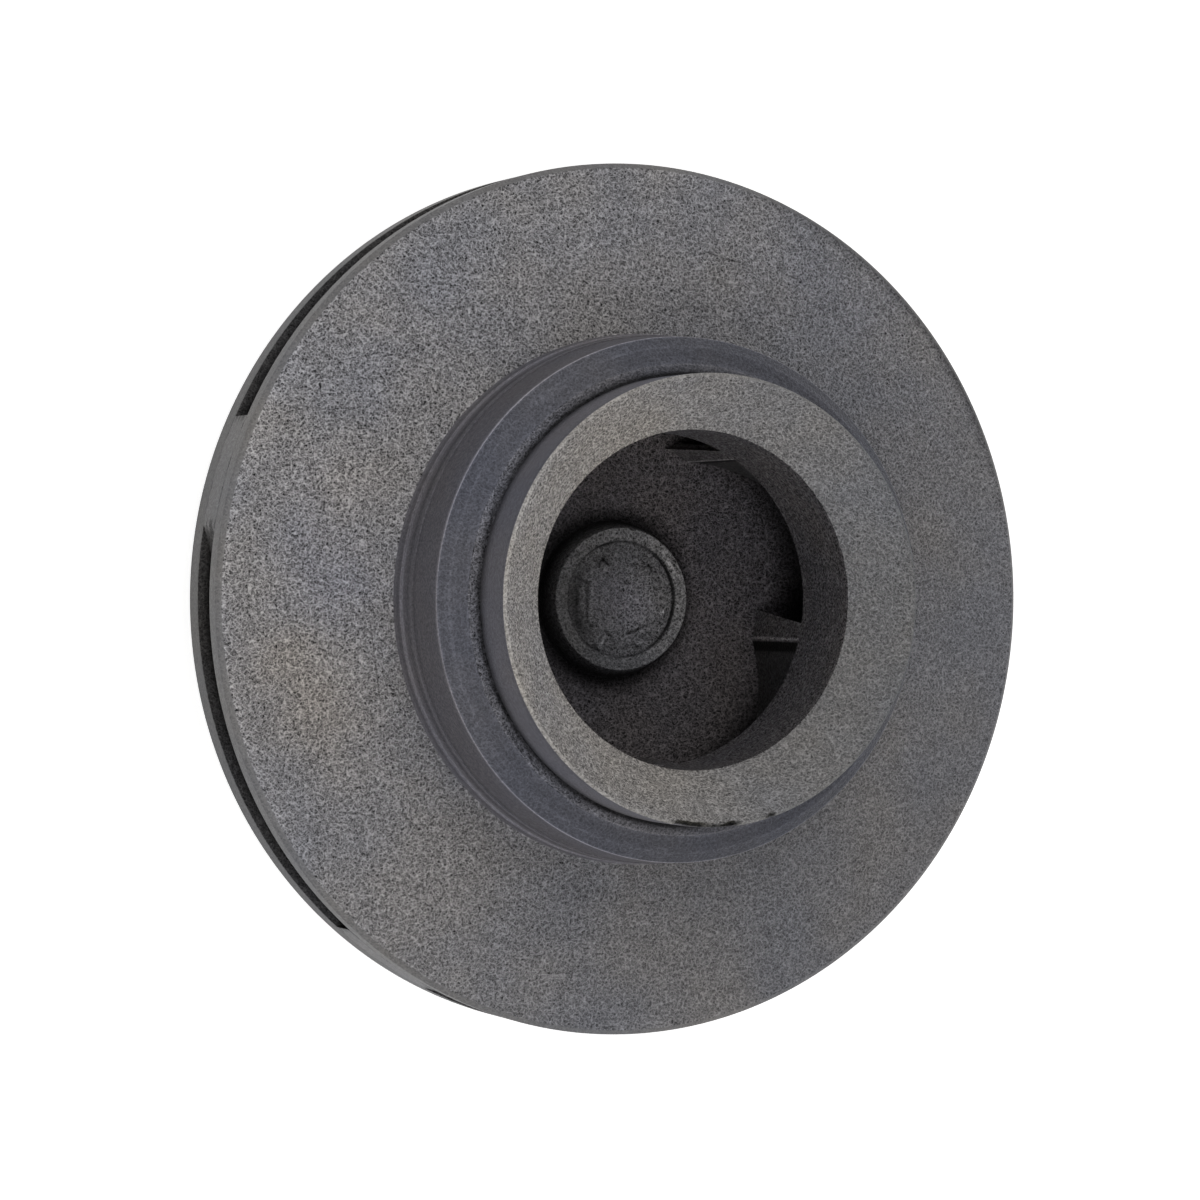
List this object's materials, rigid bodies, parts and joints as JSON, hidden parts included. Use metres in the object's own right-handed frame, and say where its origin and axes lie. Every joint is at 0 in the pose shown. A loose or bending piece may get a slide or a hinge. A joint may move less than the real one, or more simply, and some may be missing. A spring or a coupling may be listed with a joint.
{
  "type": "closed pump impeller",
  "caption": "Closed centrifugal pump impeller with backward-swept vanes between two shrouds, a stepped neck round a dished suction eye, and a hub with a threaded shaft insert.",
  "frame": {"origin": "centre of the hub's flat end, on the shaft's axis", "axes": "+Z is the shaft's axis, from the hub towards the suction eye; X and Y are square to it, in the plane of the disc"},
  "size_m": [0.127, 0.127, 0.0532],
  "materials": {
    "moulded_plastic": "satin",
    "insert_brass": "satin"
  },
  "bodies": {
    "root": {"vane_body": "moulded_plastic", "front_shroud": "moulded_plastic", "shaft_insert": "insert_brass"}
  },
  "joints": []
}
